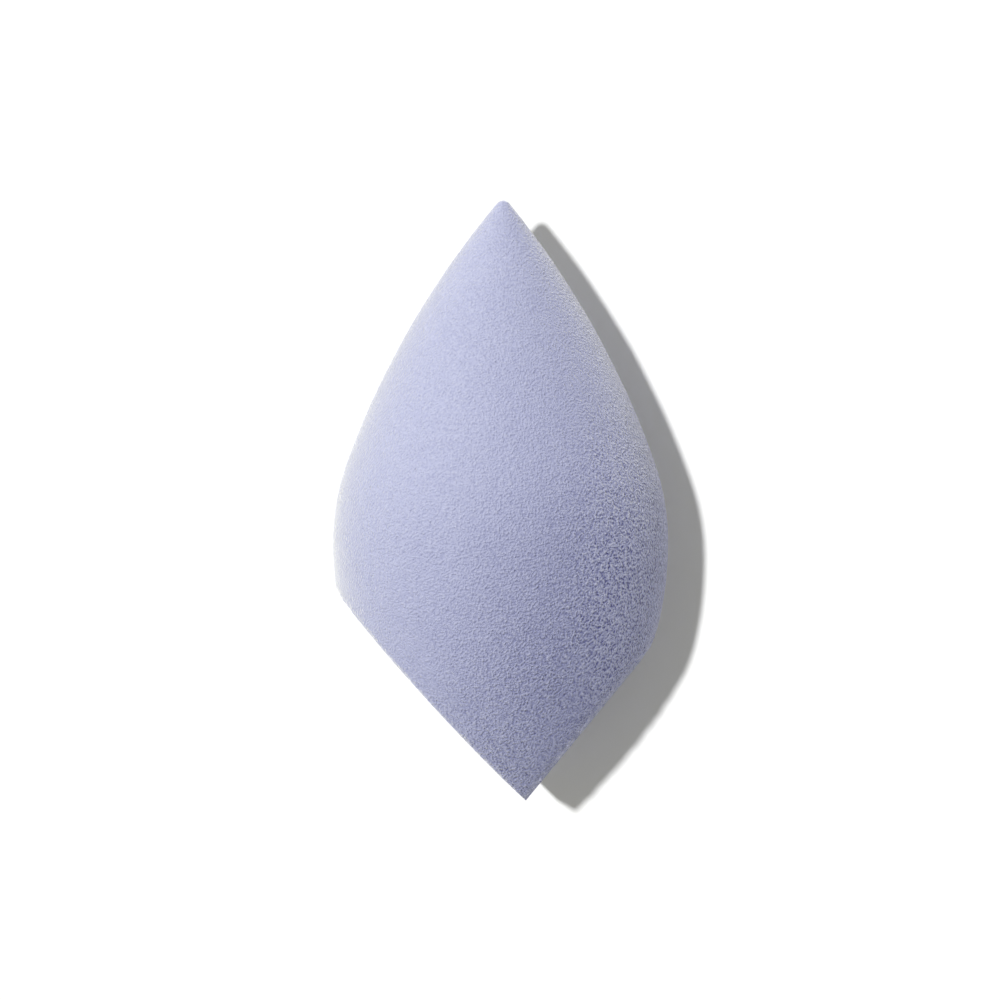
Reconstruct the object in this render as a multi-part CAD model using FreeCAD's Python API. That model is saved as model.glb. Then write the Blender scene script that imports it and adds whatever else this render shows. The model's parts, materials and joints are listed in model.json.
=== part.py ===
import FreeCAD, Part
import math
import os
from collections import namedtuple

# A makeup sponge: a teardrop of foam, moulded in one piece and then sliced twice at its round end.
# It lies on its belly, as on a table. The tip points to +Y, +Z is up, and the table is at zero height.
# The origin is under the middle of the finished length. Lengths are in millimetres.

# The teardrop before slicing, a body of revolution; its base is where the lower curve would meet the axis
TIP_TO_BELLY = 36.4
BELLY_TO_BASE = 33.1
BELLY_RADIUS = 17.85
TIP_RADIUS = 0.85
SHOULDER_STATION_SHARE = 0.238
SHOULDER_RADIUS_SHARE = 0.915

# The two slices: they meet in a ridge beside the axis, and each runs from it to a rim below the belly
RIDGE_LENGTH = 12.5
RIDGE_OFFSET = 3.2
LONG_CUT_RIM = 5.0
SHORT_CUT_RIM = 11.0

# The layers of the foam: a moulded skin, a core under it, and the opened cells at each slice
SKIN_THICKNESS = 0.6
CORE_TIP_RADIUS = 2.0
LONG_CUT_LAYER = 0.9
SHORT_CUT_LAYER = 0.9

# How deep the belly gives where it rests on the table
REST_FLAT_DEPTH = 0.5

# How far the cutting blocks reach past what they cut
OVERRUN = 5.0

# The curve below the belly is one arc, whose centre lies past the axis
LOWER_ARC_RADIUS = (BELLY_RADIUS**2 + BELLY_TO_BASE**2) / (2 * BELLY_RADIUS)
LOWER_ARC_PAST_AXIS = LOWER_ARC_RADIUS - BELLY_RADIUS


def radius_below_belly(drop):
    """The teardrop's radius at a given distance below its belly."""
    return math.sqrt(LOWER_ARC_RADIUS**2 - drop**2) - LOWER_ARC_PAST_AXIS


def drop_below_belly(radius):
    """The distance below its belly at which the teardrop has a given radius."""
    return math.sqrt(LOWER_ARC_RADIUS**2 - (LOWER_ARC_PAST_AXIS + radius) ** 2)


# Places that follow from the sizes above
BELLY_TO_RIDGE = drop_below_belly(math.hypot(RIDGE_OFFSET, RIDGE_LENGTH / 2))
BELLY_Y = (BELLY_TO_RIDGE - TIP_TO_BELLY) / 2
AXIS_Z = BELLY_RADIUS - REST_FLAT_DEPTH
REACH = TIP_TO_BELLY + BELLY_TO_BASE + OVERRUN

TO_TIP = FreeCAD.Vector(0, 1, 0)
TO_AXIS = FreeCAD.Vector(-1, 0, 0)
UP = FreeCAD.Vector(0, 0, 1)

Circle = namedtuple("Circle", "centre radius")


def at(station, radius):
    """A point of the profile: station counts from the belly towards the tip, radius from the axis."""
    return FreeCAD.Vector(radius, BELLY_Y + station, AXIS_Z)


def on_circle(circle, towards):
    """The point of a circle on the line from its centre towards another point."""
    return circle.centre + (towards - circle.centre).normalize() * circle.radius


def arc(circle, start, end):
    """The shorter arc of a circle between two of its points."""
    middle = on_circle(circle, (start + end) / 2)
    return Part.Arc(start, middle, end).toShape()


def axis_crossing(circle, side):
    """Where a circle crosses the teardrop's axis: side is 1 towards the tip and -1 towards the base."""
    half_chord = math.sqrt(circle.radius**2 - circle.centre.x**2)
    return FreeCAD.Vector(0, circle.centre.y + side * half_chord, AXIS_Z)


def belly_circle(radius):
    """A circle of the profile that runs level with the axis at the belly."""
    return Circle(at(0, BELLY_RADIUS - radius), radius)


def flank_circle(upper_belly, shoulder):
    """The circle that leaves the upper belly circle at the shoulder and runs into the ball at the tip."""
    normal = (upper_belly.centre - shoulder).normalize()
    gap = shoulder - at(TIP_TO_BELLY - TIP_RADIUS, 0)
    radius = (TIP_RADIUS**2 - gap.dot(gap)) / (2 * (normal.dot(gap) + TIP_RADIUS))
    return Circle(shoulder + normal * radius, radius)


SHOULDER = at(TIP_TO_BELLY * SHOULDER_STATION_SHARE, BELLY_RADIUS * SHOULDER_RADIUS_SHARE)
SHOULDER_CHORD = SHOULDER - at(0, BELLY_RADIUS)
UPPER_BELLY = belly_circle(SHOULDER_CHORD.dot(SHOULDER_CHORD) / (2 * SHOULDER_CHORD.dot(TO_AXIS)))
LOWER_BELLY = belly_circle(LOWER_ARC_RADIUS)
FLANK = flank_circle(UPPER_BELLY, SHOULDER)


def teardrop(depth, tip_radius):
    """The body of revolution a given depth under the teardrop's surface, with its own ball at the tip."""
    lower = Circle(LOWER_BELLY.centre, LOWER_BELLY.radius - depth)
    upper = Circle(UPPER_BELLY.centre, UPPER_BELLY.radius - depth)
    flank = Circle(FLANK.centre, FLANK.radius - depth)
    ball_path = Circle(flank.centre, flank.radius - tip_radius)
    ball = Circle(axis_crossing(ball_path, 1), tip_radius)

    base = axis_crossing(lower, -1)
    belly = at(0, BELLY_RADIUS - depth)
    shoulder = on_circle(upper, SHOULDER)
    ball_join = on_circle(flank, ball.centre)
    tip = ball.centre + TO_TIP * tip_radius
    edges = [
        arc(lower, base, belly),
        arc(upper, belly, shoulder),
        arc(flank, shoulder, ball_join),
        arc(ball, ball_join, tip),
        Part.LineSegment(tip, base).toShape(),
    ]
    return Part.Face(Part.Wire(edges)).revolve(at(0, 0), TO_TIP, 360)


def above(level):
    """A block that holds everything above a level."""
    return Part.makeBox(2 * REACH, 2 * REACH, REACH, FreeCAD.Vector(-REACH, -REACH, level))


def upright_block(*corners):
    """A block over an outline on the table, which reaches past the sponge at its bottom and top."""
    outline = Part.makePolygon([*corners, corners[0]])
    block = Part.Face(outline).extrude(UP * 2 * (BELLY_RADIUS + OVERRUN))
    block.translate(UP * -OVERRUN)
    return block


# Each slice is a line on the table from the ridge past the rim; its layer lies on the inner side of it.
ridge = FreeCAD.Vector(RIDGE_OFFSET, BELLY_Y - BELLY_TO_RIDGE, 0)
long_rim = FreeCAD.Vector(-radius_below_belly(LONG_CUT_RIM), BELLY_Y - LONG_CUT_RIM, 0)
short_rim = FreeCAD.Vector(radius_below_belly(SHORT_CUT_RIM), BELLY_Y - SHORT_CUT_RIM, 0)
along_long = (long_rim - ridge).normalize()
along_short = (short_rim - ridge).normalize()
spread = along_short.cross(along_long).Length
inner_ridge = ridge + along_long * (SHORT_CUT_LAYER / spread) + along_short * (LONG_CUT_LAYER / spread)
long_end = ridge + along_long * REACH
short_end = ridge + along_short * REACH
inner_long_end = inner_ridge + along_long * REACH
inner_short_end = inner_ridge + along_short * REACH
past_tip = inner_ridge.y + REACH
past_tip_left = FreeCAD.Vector(inner_long_end.x, past_tip, 0)
past_tip_right = FreeCAD.Vector(inner_short_end.x, past_tip, 0)

behind_slices = upright_block(inner_ridge, inner_short_end, past_tip_right, past_tip_left, inner_long_end)
long_slab = upright_block(ridge, inner_ridge, inner_long_end, long_end)
short_slab = upright_block(ridge, short_end, inner_short_end, inner_ridge)

# The skin follows the core round the flat where the belly rests, so it is as thick there as elsewhere.
moulding = teardrop(0, TIP_RADIUS).common(above(0))
core_form = teardrop(SKIN_THICKNESS, CORE_TIP_RADIUS).common(above(SKIN_THICKNESS))

pieces = {
    "moulded_skin": moulding.cut(core_form).common(behind_slices),
    "foam_core": core_form.common(behind_slices),
    "long_cut_face": moulding.common(long_slab),
    "short_cut_face": moulding.common(short_slab),
}

os.makedirs("parts", exist_ok=True)
for name, piece in pieces.items():
    print(name, "solids", len(piece.Solids), "volume", round(piece.Volume, 1), "valid", piece.isValid())
    piece.exportStep(f"parts/{name}.step")
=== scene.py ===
import json
import math
from collections import namedtuple

import bmesh
import bpy
import numpy as np
from mathutils import Euler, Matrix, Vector, noise


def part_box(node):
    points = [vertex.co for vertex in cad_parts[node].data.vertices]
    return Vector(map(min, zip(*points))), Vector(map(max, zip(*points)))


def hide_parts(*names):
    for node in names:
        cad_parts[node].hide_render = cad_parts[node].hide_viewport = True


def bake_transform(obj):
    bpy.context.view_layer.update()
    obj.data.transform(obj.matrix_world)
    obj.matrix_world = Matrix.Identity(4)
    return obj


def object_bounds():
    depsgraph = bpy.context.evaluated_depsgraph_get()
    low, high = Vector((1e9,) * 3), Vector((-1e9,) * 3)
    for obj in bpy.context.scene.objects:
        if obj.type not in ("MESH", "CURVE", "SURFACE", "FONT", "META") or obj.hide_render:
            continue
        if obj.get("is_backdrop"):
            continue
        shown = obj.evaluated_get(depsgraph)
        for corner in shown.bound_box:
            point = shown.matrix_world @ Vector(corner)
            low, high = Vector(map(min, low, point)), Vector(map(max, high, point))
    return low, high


# A makeup sponge: a teardrop of fine foam, sliced twice at its round end.
# It lies on its belly on a white table.
# Lengths are in metres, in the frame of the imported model.
# The tip points to +Y, +Z is up, and the table is at zero.

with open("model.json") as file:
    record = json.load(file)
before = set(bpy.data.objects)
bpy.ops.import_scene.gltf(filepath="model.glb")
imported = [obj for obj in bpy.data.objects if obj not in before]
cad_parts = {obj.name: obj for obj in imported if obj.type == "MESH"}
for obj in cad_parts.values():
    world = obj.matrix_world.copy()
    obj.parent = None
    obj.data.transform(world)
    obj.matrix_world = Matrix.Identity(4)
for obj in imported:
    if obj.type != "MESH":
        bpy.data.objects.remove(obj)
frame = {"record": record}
cad_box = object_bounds()

MM = 0.001
UP = np.array([0.0, 0.0, 1.0])
HALFWAY = 0.5
WHITE = (1.0, 1.0, 1.0)

# The teardrop, as its solids have it
TIP_TO_BELLY = 36.4 * MM
BELLY_TO_BASE = 33.1 * MM
TIP_RADIUS = 0.85 * MM
SHOULDER_STATION_SHARE = 0.238
SHOULDER_RADIUS_SHARE = 0.915
SKIN_THICKNESS = 0.6 * MM
CORE_TIP_RADIUS = 2.0 * MM
CUT_LAYER = 0.9 * MM

# How far apart the points of each surface are, and how close its rows are beside that
SKIN_STEP = 0.237 * MM
CUT_STEP = 0.14 * MM
HIDDEN_STEP = 1.0 * MM
ROW_SHARE = 0.87

# The core lies this far inside the skin and the cut layers, so that no two hidden faces coincide
CORE_CLEARANCE = 0.03 * MM

# The relief of the skin: the wavelength and the height of each kind of unevenness
SKIN_RELIEF = ((0.75 * MM, 0.02 * MM), (6.0 * MM, 0.05 * MM))

# The opened cells of the cuts: how wide and deep they are, how steep their walls are,
# and how far from the edge they reach their full depth
CELL_WIDTH = 0.55 * MM
CELL_DEPTH = 0.17 * MM
CELL_WALL_SHARE = 0.45
CELL_MARGIN = 0.35 * MM

# The rims of the slices: how far from them they are rounded off, and how wide their burrs are
LONG_RIM_EASE = 0.6 * MM
SHORT_RIM_EASE = 1.2 * MM
FRAY_WIDTH = 0.5 * MM

# How deep a rim is rounded off and how high its burrs are, beside how far the rounding reaches
EASE_DEPTH_SHARE = 0.25
FRAY_SHARE = 0.28

# How steeply the rounding of a rim and its painted highlight fade out, and how much more of that painted
# highlight its burrs get
EASE_FADE = 2
HIGHLIGHT_FADE = 4
BURR_HIGHLIGHT = 2.0

# How strongly each rim is painted paler: a painted highlight where its cut edge catches the light
LONG_RIM_HIGHLIGHT = 0.4
SHORT_RIM_HIGHLIGHT = 1.0

# A corner this close to a slice lies in it
CUT_TOLERANCE = 0.001 * MM

# Edges sharper than this stay crisp; finer relief is shaded smooth
SHARP_ANGLE = math.radians(50)

# What each piece's points carry for its material
REST_PLACE = "rest_place"
# The painted rim highlight: how much paler each point near a slice's rim is painted, where the edge
# catches light
RIM_HIGHLIGHT = "painted_rim_highlight"

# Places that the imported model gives
_, skin_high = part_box("moulded_skin")
BELLY_RADIUS = skin_high.x
BELLY_Y = skin_high.y - TIP_TO_BELLY
AXIS_Z = skin_high.z - BELLY_RADIUS
mounts = {mount["name"]: mount for mount in frame["record"]["mounts"]}

# The outline's arcs, in stations from the belly towards the tip and radii from the axis
Arc = namedtuple("Arc", "centre radius")
LOWER_RADIUS = (BELLY_RADIUS**2 + BELLY_TO_BASE**2) / (2 * BELLY_RADIUS)
LOWER_PAST_AXIS = LOWER_RADIUS - BELLY_RADIUS
LOWER = Arc(np.array([0.0, -LOWER_PAST_AXIS]), LOWER_RADIUS)
SHOULDER = np.array([TIP_TO_BELLY * SHOULDER_STATION_SHARE, BELLY_RADIUS * SHOULDER_RADIUS_SHARE])


def upper_arc():
    """The arc that runs level with the axis at the belly and through the shoulder."""
    chord = SHOULDER - np.array([0.0, BELLY_RADIUS])
    radius = chord @ chord / (-2 * chord[1])
    return Arc(np.array([0.0, BELLY_RADIUS - radius]), radius)


def flank_arc(upper):
    """The arc that leaves the upper one at the shoulder and runs into the ball at the tip."""
    inward = (upper.centre - SHOULDER) / upper.radius
    gap = SHOULDER - np.array([TIP_TO_BELLY - TIP_RADIUS, 0.0])
    radius = (TIP_RADIUS**2 - gap @ gap) / (2 * (inward @ gap + TIP_RADIUS))
    return Arc(SHOULDER + inward * radius, radius)


UPPER = upper_arc()
FLANK = flank_arc(UPPER)


def angle_to(arc, point):
    """The angle at which a point lies from an arc's centre."""
    station, radius = point - arc.centre
    return math.atan2(radius, station)


def outline(depth, tip_radius, step):
    """Points and outward normals of the teardrop's outline a depth under its surface, from base to tip."""
    ball_path = FLANK.radius - depth - tip_radius
    ball_station = FLANK.centre[0] + math.sqrt(ball_path**2 - FLANK.centre[1] ** 2)
    ball = Arc(np.array([ball_station, 0.0]), tip_radius)
    base_angle = math.pi - math.asin(LOWER_PAST_AXIS / (LOWER.radius - depth))
    shoulder_angle = angle_to(UPPER, SHOULDER)
    join_angle = angle_to(FLANK, ball.centre)
    runs = (
        (LOWER.centre, LOWER.radius - depth, base_angle, math.pi / 2),
        (UPPER.centre, UPPER.radius - depth, math.pi / 2, shoulder_angle),
        (FLANK.centre, FLANK.radius - depth, shoulder_angle, join_angle),
        (ball.centre, ball.radius, join_angle, 0.0),
    )
    points = []
    normals = []
    for centre, radius, start, end in runs:
        count = max(1, round(radius * (start - end) / step))
        angles = np.linspace(start, end, count, endpoint=False)
        normals.append(np.stack([np.cos(angles), np.sin(angles)], 1))
        points.append(centre + radius * normals[-1])
    normals.append(np.array([[1.0, 0.0]]))
    points.append(ball.centre + tip_radius * normals[-1])
    return np.concatenate(points), np.concatenate(normals)


def strip(first, second, first_at, second_at):
    """Triangles between two rows of corners, given how far along its row each corner is."""
    faces = []
    i = 0
    j = 0
    while i + 1 < len(first) or j + 1 < len(second):
        first_left = i + 1 < len(first)
        second_left = j + 1 < len(second)
        if first_left and (not second_left or first_at[i + 1] <= second_at[j + 1]):
            faces.append((first[i], first[i + 1], second[j]))
            i += 1
        else:
            faces.append((second[j + 1], second[j], first[i]))
            j += 1
    return faces


def teardrop(depth, tip_radius, step):
    """Points, outward normals and triangles of the whole teardrop a depth under its surface, in rings."""
    ring_places, ring_normals = outline(depth, tip_radius, step * ROW_SHARE)
    points = []
    normals = []
    faces = []
    total = 0
    last = None
    for row, ((station, radius), (lean, spread)) in enumerate(zip(ring_places, ring_normals)):
        count = max(1, round(math.tau * radius / step))
        turns = (np.arange(count) + HALFWAY * (row % 2)) / count
        cosines = np.cos(math.tau * turns)
        sines = np.sin(math.tau * turns)
        lengthwise = np.full(count, BELLY_Y + station)
        points.append(np.stack([radius * cosines, lengthwise, AXIS_Z + radius * sines], 1))
        normals.append(np.stack([spread * cosines, np.full(count, lean), spread * sines], 1))
        ring = list(range(total, total + count))
        ring_at = list(turns)
        if count > 1:
            ring.append(ring[0])
            ring_at.append(ring_at[0] + 1)
        if last:
            faces += strip(last[0], ring, last[1], ring_at)
        last = (ring, ring_at)
        total += count
    return np.concatenate(points), np.concatenate(normals), faces


# The two slices: each faces outward, and across runs level in its plane from the ridge to the rim
# Each also gives how far its rim is rounded, and how strongly the rim is painted paler as a painted
# highlight
Cut = namedtuple("Cut", "middle outward across ease wear")


def cut_at(mount, turn, ease, wear):
    """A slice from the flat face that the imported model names; turn is the side on which its rim lies."""
    outward = np.array(mount["axis"])
    return Cut(np.array(mount["pos_m"]), outward, turn * np.cross(UP, outward), ease, wear)


LONG_CUT = cut_at(mounts["long_cut"], -1, LONG_RIM_EASE, LONG_RIM_HIGHLIGHT)
SHORT_CUT = cut_at(mounts["short_cut"], 1, SHORT_RIM_EASE, SHORT_RIM_HIGHLIGHT)
CUTS = (LONG_CUT, SHORT_CUT)


def ridge_at(depth):
    """Where the two slices meet, with both moved inwards by a depth, at the height of the axis."""
    level = np.array([cut.outward[:2] for cut in CUTS])
    reach = np.array([cut.outward @ cut.middle - depth for cut in CUTS])
    return np.array([*np.linalg.solve(level, reach), AXIS_Z])


def radius_below_belly(y, depth):
    """The radius a depth under the surface, at a place below the belly."""
    return np.sqrt((LOWER.radius - depth) ** 2 - (y - BELLY_Y) ** 2) - LOWER_PAST_AXIS


def trimmed(points, faces, inset, fill):
    """What lies behind both slices, moved inwards by an inset; fill closes it with flat faces there."""
    whole = bpy.data.meshes.new("whole")
    whole.from_pydata(points, [], faces)
    made = bmesh.new()
    made.from_mesh(whole)
    bpy.data.meshes.remove(whole)
    for cut in CUTS:
        bmesh.ops.bisect_plane(
            made,
            geom=[*made.verts, *made.edges, *made.faces],
            plane_co=cut.middle - cut.outward * inset,
            plane_no=cut.outward,
            clear_outer=True,
        )
        if fill:
            bmesh.ops.holes_fill(made, edges=[edge for edge in made.edges if edge.is_boundary])
    return made


def rim_chains(made, cut):
    """The rims of the skin's outer and inner side in a slice, each with the share of the way round."""
    chains = {False: [], True: []}
    for corner in made.verts:
        from_middle = np.array(corner.co) - cut.middle
        if corner.is_boundary and abs(from_middle @ cut.outward) < CUT_TOLERANCE:
            x, y, z = corner.co
            depth = radius_below_belly(y, 0) - math.hypot(x, z - AXIS_Z)
            turn = math.atan2(from_middle @ UP, from_middle @ cut.across)
            chains[bool(depth > SKIN_THICKNESS / 2)].append((turn, corner))
    for chain in chains.values():
        chain.sort(key=lambda placed: placed[0])
        first = chain[0][0]
        span = chain[-1][0] - first
        yield [corner for turn, corner in chain], [(turn - first) / span for turn, corner in chain]


def relief(points, normals, kinds):
    """Points moved out or in along their normals, by kinds of unevenness of a wavelength and a height."""
    heights = np.zeros(len(points))
    for wavelength, height in kinds:
        heights += height * np.array([noise.noise(Vector(point / wavelength)) for point in points])
    return points + normals * heights[:, None]


def rested(points, height):
    """Points with none below a height, so that the belly is flat where it rests."""
    return np.stack([points[:, 0], points[:, 1], np.maximum(points[:, 2], height)], 1)


def eased(points):
    """Points rounded off and a little frayed near the rims of both slices, and the painted highlight each
    gets there.
    """
    room = radius_below_belly(points[:, 1], 0) - np.hypot(points[:, 0], points[:, 2] - AXIS_Z)
    moved = points.copy()
    wear = np.zeros(len(points))
    for cut in CUTS:
        past_cut = (points - cut.middle) @ cut.outward
        nearness = np.maximum(0, 1 - np.hypot(past_cut, room) / cut.ease)
        for index in np.flatnonzero(nearness):
            fray = noise.noise(Vector(points[index] / FRAY_WIDTH))
            depth = cut.ease * nearness[index] ** EASE_FADE * (EASE_DEPTH_SHARE + FRAY_SHARE * fray)
            moved[index] -= cut.outward * depth
            # The rim is painted paler as a painted highlight where the edge catches light, and paler still
            # on its burrs
            highlighted = cut.wear * nearness[index] ** HIGHLIGHT_FADE * (1 - BURR_HIGHLIGHT * fray)
            wear[index] = max(wear[index], highlighted)
    return moved, wear


def make_piece(name, made, material, node):
    """Turns a bmesh into a smooth piece that stands for a solid, whose imported part it hides."""
    bmesh.ops.recalc_face_normals(made, faces=made.faces)
    mesh = bpy.data.meshes.new(name)
    made.to_mesh(mesh)
    made.free()
    mesh.polygons.foreach_set("use_smooth", [True] * len(mesh.polygons))
    mesh.set_sharp_from_angle(angle=SHARP_ANGLE)
    places = np.zeros(3 * len(mesh.vertices))
    mesh.vertices.foreach_get("co", places)
    places, wear = eased(places.reshape(-1, 3))
    mesh.vertices.foreach_set("co", places.ravel())
    mesh.attributes.new(REST_PLACE, "FLOAT_VECTOR", "POINT").data.foreach_set("vector", places.ravel())
    # Keeps the painted rim highlight for the material
    mesh.attributes.new(RIM_HIGHLIGHT, "FLOAT", "POINT").data.foreach_set("value", wear)
    mesh.materials.append(material)
    piece = bpy.data.objects.new(name, mesh)
    bpy.context.scene.collection.objects.link(piece)
    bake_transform(piece)
    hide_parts(node)
    return piece


def skin_piece(material):
    """The moulded skin: a grained outer side, a plain inner side, and its cut edge in both slices."""
    points, normals, faces = teardrop(0, TIP_RADIUS, SKIN_STEP)
    outside = rested(relief(points, normals, SKIN_RELIEF), 0)
    inside, _, inside_faces = teardrop(SKIN_THICKNESS, CORE_TIP_RADIUS, HIDDEN_STEP)
    inside = rested(inside, SKIN_THICKNESS)
    first = len(outside)
    faces += [tuple(first + corner for corner in face) for face in inside_faces]
    made = trimmed(np.concatenate([outside, inside]), faces, 0, fill=False)
    for cut in CUTS:
        (outer, outer_at), (inner, inner_at) = rim_chains(made, cut)
        for corners in strip(outer, inner, outer_at, inner_at):
            made.faces.new(corners)
    return make_piece("teardrop_skin", made, material, "moulded_skin")


def core_piece(material):
    """The foam inside the skin, behind the cut layers."""
    depth = SKIN_THICKNESS + CORE_CLEARANCE
    points, _, faces = teardrop(depth, CORE_TIP_RADIUS, HIDDEN_STEP)
    made = trimmed(rested(points, depth), faces, CUT_LAYER + CORE_CLEARANCE, fill=True)
    return make_piece("inner_core", made, material, "foam_core")


def cut_rows(cut, depth, step):
    """Rows of points of a slice moved inwards by a depth, inside the skin, from the ridge to the rim."""
    ridge = ridge_at(depth)
    arc_radius = LOWER.radius - SKIN_THICKNESS
    to_ridge = ridge - np.array([-math.copysign(LOWER_PAST_AXIS, cut.across[0]), BELLY_Y, AXIS_Z])
    along = cut.across @ to_ridge
    width = math.sqrt(along**2 + arc_radius**2 - to_ridge @ to_ridge) - along
    row_count = round(math.pi / 2 * width / (step * ROW_SHARE))
    rows = []
    for share in np.linspace(0, 1, row_count + 1):
        middle = ridge + cut.across * width * math.sin(math.pi / 2 * share)
        half = math.sqrt(max(0, radius_below_belly(middle[1], SKIN_THICKNESS) ** 2 - middle[0] ** 2))
        count = round(2 * half / step)
        heights = np.linspace(-half, half, count + 1) if count else np.zeros(1)
        rows.append(middle + np.outer(heights, UP))
    return rows, width


def smooth_step(share):
    """A share from 0 to 1 that starts and ends level."""
    return share * share * (3 - 2 * share)


def cells(rows, width, cut):
    """Sinks the opened cells into the rows of a slice, fading out towards its edges."""
    sunk = []
    for row in rows:
        past_ridge = abs((row[0] - rows[0][0]) @ cut.across)
        edge_room = min(past_ridge, width - past_ridge)
        half = row[-1][2] - AXIS_Z
        depths = []
        for point in row:
            room = min(edge_room, half - abs(point[2] - AXIS_Z))
            nearest, second = noise.voronoi(Vector(point / CELL_WIDTH))[0][:2]
            wall = min(1, (second - nearest) / CELL_WALL_SHARE)
            fade = min(1, max(0, room / CELL_MARGIN))
            depths.append(CELL_DEPTH * fade * smooth_step(wall))
        sunk.append(row - np.outer(depths, cut.outward))
    return sunk


def progress(places):
    """How far along a chain of places each one is, as a share of its length."""
    lengths = np.linalg.norm(np.diff(places, axis=0), axis=1)
    return np.concatenate([[0], np.cumsum(lengths)]) / lengths.sum()


def add_sheet(made, rows):
    """Adds rows of points as a sheet; returns its corners at the ridge and round its curved edge."""
    corner_rows = [[made.verts.new(point) for point in row] for row in rows]
    for first, second in zip(corner_rows, corner_rows[1:]):
        first_at = np.linspace(0, 1, len(first))
        second_at = np.linspace(0, 1, len(second)) if len(second) > 1 else [HALFWAY]
        for corners in strip(first, second, first_at, second_at):
            made.faces.new(corners)
    edge = [row[0] for row in corner_rows] + [row[-1] for row in reversed(corner_rows[:-1])]
    return corner_rows[0], edge


def cut_piece(name, cut, material, node):
    """The layer of opened cells at a slice: a pitted face, a plain back, and the wall between them."""
    made = bmesh.new()
    front_rows, width = cut_rows(cut, 0, CUT_STEP)
    back_rows, _ = cut_rows(cut, CUT_LAYER, HIDDEN_STEP)
    front = add_sheet(made, cells(front_rows, width, cut))
    back = add_sheet(made, back_rows)
    for front_chain, back_chain in zip(front, back):
        front_at = progress([corner.co for corner in front_chain])
        back_at = progress([corner.co for corner in back_chain])
        for corners in strip(front_chain, back_chain, front_at, back_at):
            made.faces.new(corners)
    return make_piece(name, made, material, node)


# Materials

def add_node(tree, kind, inputs=None, **settings):
    """A new node with its settings; each input takes a value or another node's output."""
    made = tree.nodes.new(kind)
    for name, value in settings.items():
        setattr(made, name, value)
    for name, value in (inputs or {}).items():
        if isinstance(value, bpy.types.NodeSocket):
            tree.links.new(value, made.inputs[name])
        else:
            made.inputs[name].default_value = value
    return made


def new_material(name):
    """A material with only its output node, and its node tree."""
    material = bpy.data.materials.new(name)
    material.use_nodes = True
    tree = material.node_tree
    tree.nodes.clear()
    return material, tree, add_node(tree, "ShaderNodeOutputMaterial")


def colour_ramp(tree, share, *stops):
    """A colour between stops, each a place from 0 to 1 and a colour."""
    ramp = add_node(tree, "ShaderNodeValToRGB", {"Fac": share})
    elements = ramp.color_ramp.elements
    while len(elements) < len(stops):
        elements.new(1.0)
    for element, (place, colour) in zip(elements, stops):
        element.position = place
        element.color = (*colour, 1)
    return ramp.outputs["Color"]


# The grain of the foam: its bumps and the pores strewn over it
GRAIN_WIDTH = 0.24 * MM
GRAIN_HEIGHT = 0.062 * MM
GRAIN_DETAIL = 1.0
PORE_SPACING = 1.6 * MM
PORE_RADIUS_SHARE = 0.11

# The way in which the grain grows coarser, towards the side turned from the key lamp, where that starts
# and ends, and its share there; the painted specks grow with it
COARSE_WAY = (0.85, -0.53, 0.0)
COARSE_START = 0.0
COARSE_END = 18.0 * MM
COARSE_SHARE = 1.85

# The specks, painted shade in the pits and painted highlight on the bumps, also grow stronger towards this
# side, which is turned from the key lamp
SPECKED_WAY = (1.0, 0.0, 0.0)
SPECKED_START = 6.0 * MM
SPECKED_END = 14.0 * MM
SPECKED_SHARE = 2.2

# The colour of the foam, painted darker in its pits as painted shade and paler on its bumps as painted
# highlight, and how the specks, mottling and painted rim highlight shift it
SKIN_COLOUR = np.array([0.358, 0.38, 0.68])
CUT_COLOUR = np.array([0.41, 0.433, 0.73])
PIT_SHADE_SHARES = np.array([0.14, 0.14, 0.4])
PEAK_HIGHLIGHT_SHARES = np.array([1.7, 1.66, 1.35])
SKIN_SPECK_SHARE = 0.125
CUT_SPECK_SHARE = 0.08
MOTTLE_WIDTH = 3.0 * MM
MOTTLE_DETAIL = 2.0
MOTTLE_SHARE = 0.12
# How far the painted rim highlight lifts the colour towards the peak colour
HIGHLIGHT_SHARE = 3.0

# How the foam takes the light
FOAM_ROUGHNESS = 0.55
FOAM_GLOSS = 0.3
FOAM_SHEEN = 0.8
SHEEN_ROUGHNESS = 0.4


def noise_texture(tree, place, width, detail):
    """Cloudy noise around zero, whose clouds are a given width apart."""
    inputs = {"Vector": place, "Scale": 1 / width, "Detail": detail}
    return add_node(tree, "ShaderNodeTexNoise", inputs, normalize=False).outputs["Fac"]


def map_range(tree, value, start, end, to_start, to_end):
    """A value carried smoothly from one range to another."""
    inputs = {"Value": value, "From Min": start, "From Max": end, "To Min": to_start, "To Max": to_end}
    return add_node(tree, "ShaderNodeMapRange", inputs, interpolation_type="SMOOTHSTEP").outputs["Result"]


def reckon(tree, operation, *values):
    """The result of an operation on values."""
    return add_node(tree, "ShaderNodeMath", dict(enumerate(values)), operation=operation).outputs["Value"]


def growing(tree, place, way, start, end, share):
    """A factor that grows smoothly from 1 to a share, along a way from a start to an end."""
    along = add_node(tree, "ShaderNodeVectorMath", {0: place, 1: way}, operation="DOT_PRODUCT")
    return map_range(tree, along.outputs["Value"], start, end, 1.0, share)


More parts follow.
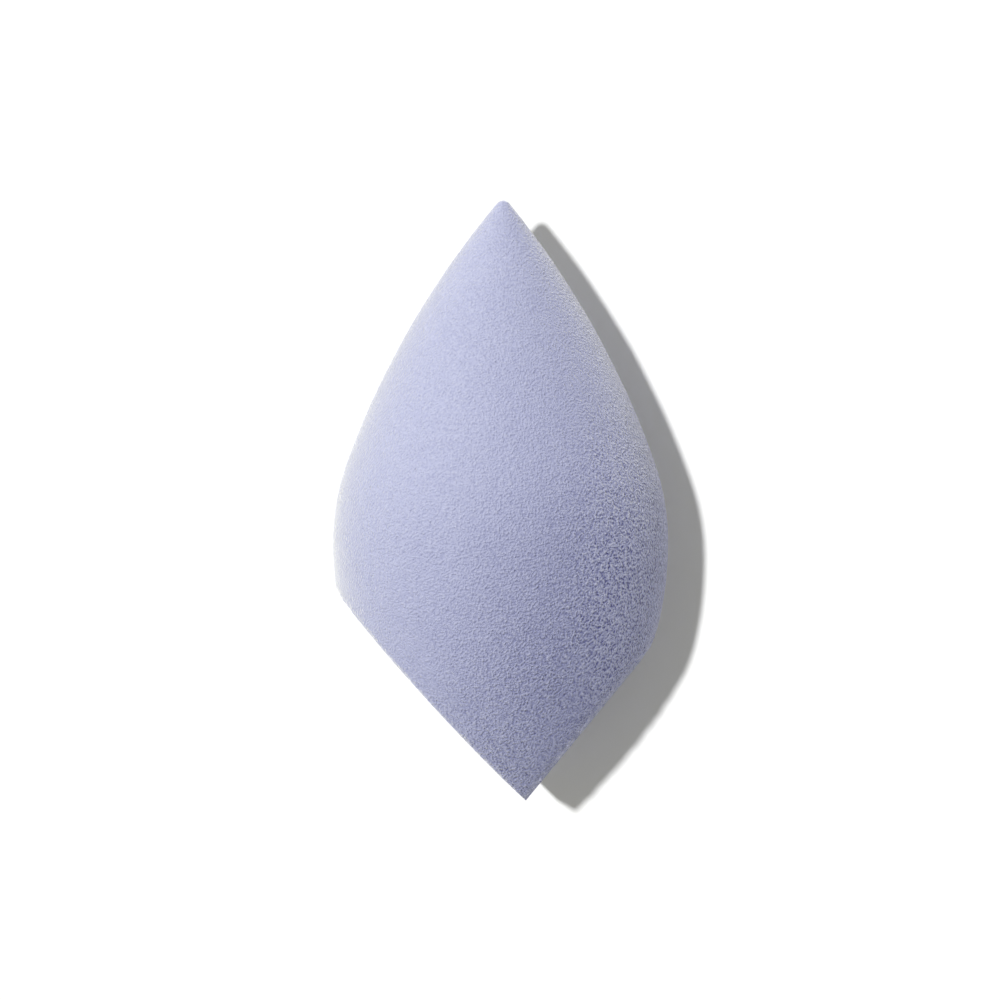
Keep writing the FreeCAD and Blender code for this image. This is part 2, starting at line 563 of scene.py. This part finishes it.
def foam_material(name, colour, speck_share):
    """Matte foam: orange-peel grain, pores, faint mottling, a soft sheen, and painted shade and highlight
    on grain and rims.
    """
    material, tree, output = new_material(name)
    place = add_node(tree, "ShaderNodeAttribute", attribute_name=REST_PLACE).outputs["Vector"]
    grain = noise_texture(tree, place, GRAIN_WIDTH, GRAIN_DETAIL)
    pores = add_node(tree, "ShaderNodeTexVoronoi", {"Vector": place, "Scale": 1 / PORE_SPACING})
    pits = map_range(tree, pores.outputs["Distance"], 0.0, PORE_RADIUS_SHARE, -1.0, 0.0)
    coarseness = growing(tree, place, COARSE_WAY, COARSE_START, COARSE_END, COARSE_SHARE)
    speckedness = growing(tree, place, SPECKED_WAY, SPECKED_START, SPECKED_END, SPECKED_SHARE)
    height = reckon(tree, "MULTIPLY", reckon(tree, "ADD", grain, pits), coarseness)
    mottle = noise_texture(tree, place, MOTTLE_WIDTH, MOTTLE_DETAIL)
    # The specks follow the relief: painted shade in the pits and pores, painted highlight on the bumps,
    # strongest on the side turned from the key lamp
    specks = reckon(tree, "MULTIPLY", reckon(tree, "MULTIPLY", height, coarseness), speckedness)
    # The rims' painted highlight, added to the painted specks
    wear = add_node(tree, "ShaderNodeAttribute", attribute_name=RIM_HIGHLIGHT).outputs["Fac"]
    highlighted = reckon(tree, "MULTIPLY_ADD", wear, HIGHLIGHT_SHARE, specks)
    tone = reckon(tree, "MULTIPLY_ADD", mottle, MOTTLE_SHARE, highlighted)
    shade = reckon(tree, "MULTIPLY_ADD", tone, speck_share, HALFWAY)
    stops = ((0.0, PIT_SHADE_SHARES * colour), (HALFWAY, colour), (1.0, PEAK_HIGHLIGHT_SHARES * colour))
    speckled = colour_ramp(tree, shade, *stops)
    bump = add_node(tree, "ShaderNodeBump", {"Height": height, "Distance": GRAIN_HEIGHT, "Strength": 1.0})
    shader = add_node(
        tree,
        "ShaderNodeBsdfPrincipled",
        {
            "Base Color": speckled,
            "Roughness": FOAM_ROUGHNESS,
            "Specular IOR Level": FOAM_GLOSS,
            "Specular Tint": (*colour, 1.0),
            "Sheen Weight": FOAM_SHEEN,
            "Sheen Roughness": SHEEN_ROUGHNESS,
            "Normal": bump.outputs["Normal"],
        },
    )
    tree.links.new(shader.outputs["BSDF"], output.inputs["Surface"])
    return material


skin_material = foam_material("moulded_foam", SKIN_COLOUR, SKIN_SPECK_SHARE)
cut_material = foam_material("sliced_foam", CUT_COLOUR, CUT_SPECK_SHARE)
core_material = foam_material("inner_foam", CUT_COLOUR, CUT_SPECK_SHARE)

sponge_pieces = (
    skin_piece(skin_material),
    core_piece(core_material),
    cut_piece("long_cut_cells", LONG_CUT, cut_material, "long_cut_face"),
    cut_piece("short_cut_cells", SHORT_CUT, cut_material, "short_cut_face"),
)

# The table, and the even light around
FLOOR_REACH = 5.0
AMBIENT = 0.18
TABLE_WHITE = (1.0, 0.99, 0.865, 1.0)

# The lamps over the table: one throws the sponge's crisp shadow, and one softens it all over
# The shadow lamp's cool light and the table's warm white make a neutral white together
SHADOW_DIRECTION = (0.1894, -0.1166, -1.0)
SHADOW_STRENGTH = 0.93 * math.pi
SHADOW_SPREAD = math.radians(2.4)
COOL_WHITE = (0.86, 0.875, 1.0)
FILL_STRENGTH = 0.135 * math.pi
FILL_SPREAD = math.radians(160)

# The lamps that light the sponge: bearings count from +X towards +Y, powers are in watts
# They are warm, because the foam's own colour is a strong blue
KEY_BEARING = math.radians(138)
KEY_ELEVATION = math.radians(65)
KEY_STRENGTH = 0.835 * math.pi
KEY_SPREAD = math.radians(20)
KEY_WHITE = (1.0, 0.985, 0.8)
WARM_WHITE = (1.0, 0.97, 0.54)
Softbox = namedtuple("Softbox", "name bearing elevation power")
SOFTBOXES = (
    Softbox("tip_softbox", math.radians(108), math.radians(18), 1.95),
    Softbox("side_softbox", math.radians(192), math.radians(12), 1.4),
)
SOFTBOX_WIDTH = 0.5
SOFTBOX_HEIGHT = 0.4
SOFTBOX_DISTANCE = 0.6


def floor_piece():
    """A white table top."""
    mesh = bpy.data.meshes.new("table_top")
    corners = [(x * FLOOR_REACH, y * FLOOR_REACH, 0) for x, y in ((-1, -1), (1, -1), (1, 1), (-1, 1))]
    mesh.from_pydata(corners, [], [(0, 1, 2, 3)])
    material, tree, output = new_material("white_table")
    shader = add_node(tree, "ShaderNodeBsdfDiffuse", {"Color": TABLE_WHITE})
    tree.links.new(shader.outputs["BSDF"], output.inputs["Surface"])
    mesh.materials.append(material)
    floor = bpy.data.objects.new("table_top", mesh)
    bpy.context.scene.collection.objects.link(floor)
    floor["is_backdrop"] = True
    return floor


def light_world():
    """Even light from all round, which is plain white where it is seen or mirrored."""
    world = bpy.data.worlds.new("studio")
    world.use_nodes = True
    bpy.context.scene.world = world
    tree = world.node_tree
    tree.nodes.clear()
    rays = add_node(tree, "ShaderNodeLightPath").outputs
    seen = rays["Is Camera Ray"]
    for kind in ("Is Glossy Ray", "Is Transmission Ray"):
        seen = reckon(tree, "MAXIMUM", seen, rays[kind])
    lighting = add_node(tree, "ShaderNodeBackground", {"Strength": AMBIENT, "Color": (*WHITE, 1.0)})
    backdrop = add_node(tree, "ShaderNodeBackground", {"Strength": 1.0, "Color": (*WHITE, 1.0)})
    mixed = add_node(
        tree,
        "ShaderNodeMixShader",
        {"Fac": seen, 1: lighting.outputs["Background"], 2: backdrop.outputs["Background"]},
    )
    output = add_node(tree, "ShaderNodeOutputWorld")
    tree.links.new(mixed.outputs["Shader"], output.inputs["Surface"])


def way_to(bearing, elevation):
    """The direction from the sponge to a lamp."""
    level = math.cos(elevation)
    return Vector((level * math.cos(bearing), level * math.sin(bearing), math.sin(elevation)))


def place_lamp(lamp, direction, receivers):
    """Puts a lamp in the scene that shines in a direction and lights only some objects."""
    placed = bpy.data.objects.new(lamp.name, lamp)
    placed.rotation_mode = "QUATERNION"
    placed.rotation_quaternion = direction.to_track_quat("-Z", "Y")
    placed.visible_camera = False
    bpy.context.scene.collection.objects.link(placed)
    lit = bpy.data.collections.new(f"lit_by_{lamp.name}")
    for receiver in receivers:
        lit.objects.link(receiver)
    placed.light_linking.receiver_collection = lit
    return placed


def far_lamp(name, direction, strength, spread, receivers, colour):
    """A lamp far away, seen as a disc of a given spread."""
    lamp = bpy.data.lights.new(name, "SUN")
    lamp.color = colour
    lamp.energy = strength
    lamp.angle = spread
    place_lamp(lamp, direction, receivers)


def softbox_lamp(softbox):
    """A soft box that faces the middle of the sponge and lights it alone."""
    lamp = bpy.data.lights.new(softbox.name, "AREA")
    lamp.shape = "RECTANGLE"
    lamp.size = SOFTBOX_WIDTH
    lamp.size_y = SOFTBOX_HEIGHT
    lamp.energy = softbox.power
    lamp.color = WARM_WHITE
    away = way_to(softbox.bearing, softbox.elevation)
    placed = place_lamp(lamp, -away, sponge_pieces)
    placed.location = Vector((0, 0, AXIS_Z)) + away * SOFTBOX_DISTANCE


table_top = floor_piece()
light_world()
far_lamp("shadow_lamp", Vector(SHADOW_DIRECTION), SHADOW_STRENGTH, SHADOW_SPREAD, [table_top], COOL_WHITE)
far_lamp("table_fill", Vector(-UP), FILL_STRENGTH, FILL_SPREAD, [table_top], WHITE)
key_direction = -way_to(KEY_BEARING, KEY_ELEVATION)
far_lamp("key_lamp", key_direction, KEY_STRENGTH, KEY_SPREAD, sponge_pieces, KEY_WHITE)
for softbox in SOFTBOXES:
    softbox_lamp(softbox)

# The camera looks almost straight down, with the tip at the top of the picture
LENS_MM = 241.7
SENSOR_MM = 36.0
CAMERA_TURN = Euler((-0.0186, 0.0558, 0.0089), "YXZ")
FROM_BELLY = Vector((-0.056, 4.489, 715.9)) * MM


def photo_camera():
    """The camera, placed from the middle of the belly along its own axes."""
    data = bpy.data.cameras.new("photo_camera")
    data.lens = LENS_MM
    data.sensor_width = SENSOR_MM
    camera = bpy.data.objects.new("photo_camera", data)
    camera.rotation_mode = CAMERA_TURN.order
    camera.rotation_euler = CAMERA_TURN
    camera.location = Vector((0, BELLY_Y, AXIS_Z)) + CAMERA_TURN.to_matrix() @ FROM_BELLY
    bpy.context.scene.collection.objects.link(camera)
    bpy.context.scene.camera = camera


photo_camera()
bpy.context.scene.view_settings.view_transform = "Standard"

boxes = {"cad": cad_box, "visual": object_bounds()}
{name: [list(corner) for corner in corners] for name, corners in boxes.items()}
